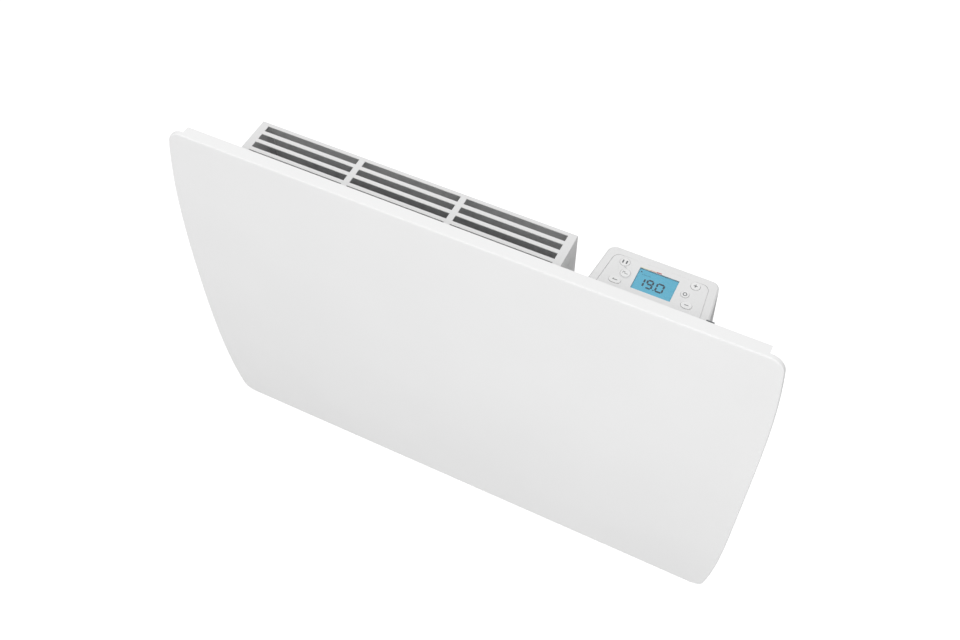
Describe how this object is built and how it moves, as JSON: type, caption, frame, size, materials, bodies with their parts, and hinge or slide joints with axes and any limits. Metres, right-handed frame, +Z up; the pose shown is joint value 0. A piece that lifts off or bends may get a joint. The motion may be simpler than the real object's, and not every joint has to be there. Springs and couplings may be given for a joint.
{
  "type": "wall panel convector heater",
  "caption": "Slim wall-hung convector heater: bowed white front panel on a casing with a slotted top grille, a top control box with a screen and buttons, and a steel wall bracket.",
  "frame": {"origin": "centre of the wall bracket's middle bar, on the plane of the wall", "axes": "+X to the right as seen from the front, +Y back into the wall, +Z up"},
  "size_m": [0.69, 0.1055, 0.495],
  "materials": {
    "panel_paint": "satin white powder coat",
    "casing_paint": "satin white powder coat",
    "grille_paint": "satin white powder coat",
    "shield_steel": "dull galvanised sheet",
    "bracket_steel": "galvanised sheet",
    "screw_steel": "zinc plated",
    "rod_steel": "annealed sheath",
    "aluminium": "mill finish",
    "control_plastic": "fine satin",
    "button_plastic": "fine satin",
    "grey_plastic": "matt",
    "black_plastic": "matt",
    "rocker_plastic": "satin",
    "steatite": "unglazed ceramic",
    "circuit_board": "solder mask",
    "screen": "backlit liquid crystal",
    "window": "clear",
    "film": "polyimide film",
    "mineral_wool": "felted",
    "lead_red": "silicone sleeve",
    "lead_blue": "silicone sleeve"
  },
  "bodies": {
    "heater": {"bracket_rail_left": "bracket_steel", "bracket_rail_right": "bracket_steel", "bracket_bar_top": "bracket_steel", "bracket_bar_middle": "bracket_steel", "bracket_bar_bottom": "bracket_steel", "latch_pin_left": "screw_steel", "latch_pin_right": "screw_steel", "rear_panel": "casing_paint", "front_shield": "shield_steel", "side_panel_left": "casing_paint", "side_panel_right": "casing_paint", "bay_partition": "casing_paint", "outlet_grille": "grille_paint", "inlet_grille": "casing_paint", "bay_floor": "casing_paint", "bay_top": "casing_paint", "wall_spacer_left": "grey_plastic", "wall_spacer_right": "grey_plastic", "front_panel": "panel_paint", "radiant_film": "film", "film_insulation": "mineral_wool", "reflector_sheet": "aluminium", "panel_bracket_left_bottom": "bracket_steel", "panel_bracket_left_top": "bracket_steel", "panel_bracket_right_bottom": "bracket_steel", "panel_bracket_right_top": "bracket_steel", "panel_screw_left_bottom": "screw_steel", "panel_screw_left_top": "screw_steel", "panel_screw_right_bottom": "screw_steel", "panel_screw_right_top": "screw_steel", "element_fins": "aluminium", "element_rod": "rod_steel", "element_bracket_left": "bracket_steel", "element_bracket_right": "bracket_steel", "element_bush_left": "steatite", "element_bush_right": "steatite", "element_terminal_left": "screw_steel", "element_terminal_right": "screw_steel", "thermal_cutout": "black_plastic", "control_housing": "control_plastic", "control_cover": "control_plastic", "lcd_module": "screen", "lcd_window": "window", "control_board": "circuit_board", "mains_switch": "black_plastic", "room_sensor": "control_plastic", "terminal_block": "control_plastic", "cable_gland": "black_plastic", "power_board": "circuit_board", "lead_live": "lead_red", "lead_neutral": "lead_blue"},
    "bracket_latch_left": {"latch_left": "grey_plastic"},
    "bracket_latch_right": {"latch_right": "grey_plastic"},
    "mode_button": {"button_mode": "button_plastic"},
    "program_button": {"button_program": "button_plastic"},
    "back_button": {"button_back": "button_plastic"},
    "plus_button": {"button_plus": "button_plastic"},
    "ok_button": {"button_ok": "button_plastic"},
    "minus_button": {"button_minus": "button_plastic"},
    "power_rocker": {"mains_rocker": "rocker_plastic"}
  },
  "joints": [
    {"name": "latch_left_slide", "type": "slide", "parent": "heater", "child": "bracket_latch_left", "axis": [0, 0, -1], "range_m": [0, 0.008]},
    {"name": "latch_right_slide", "type": "slide", "parent": "heater", "child": "bracket_latch_right", "axis": [0, 0, -1], "range_m": [0, 0.008]},
    {"name": "mode_press", "type": "slide", "parent": "heater", "child": "mode_button", "axis": [0, 0, -1], "range_m": [0, 0.0008], "stiffness_N_per_m": 1500, "springref_m": -0.0005},
    {"name": "program_press", "type": "slide", "parent": "heater", "child": "program_button", "axis": [0, 0, -1], "range_m": [0, 0.0008], "stiffness_N_per_m": 1500, "springref_m": -0.0005},
    {"name": "back_press", "type": "slide", "parent": "heater", "child": "back_button", "axis": [0, 0, -1], "range_m": [0, 0.0008], "stiffness_N_per_m": 1500, "springref_m": -0.0005},
    {"name": "plus_press", "type": "slide", "parent": "heater", "child": "plus_button", "axis": [0, 0, -1], "range_m": [0, 0.0008], "stiffness_N_per_m": 1500, "springref_m": -0.0005},
    {"name": "ok_press", "type": "slide", "parent": "heater", "child": "ok_button", "axis": [0, 0, -1], "range_m": [0, 0.0008], "stiffness_N_per_m": 1500, "springref_m": -0.0005},
    {"name": "minus_press", "type": "slide", "parent": "heater", "child": "minus_button", "axis": [0, 0, -1], "range_m": [0, 0.0008], "stiffness_N_per_m": 1500, "springref_m": -0.0005},
    {"name": "rocker_tilt", "type": "hinge", "parent": "heater", "child": "power_rocker", "pos_m": [0.2618, -0.05235, 0.06], "axis": [0, 1, 0], "range_deg": [-14, 0]}
  ]
}
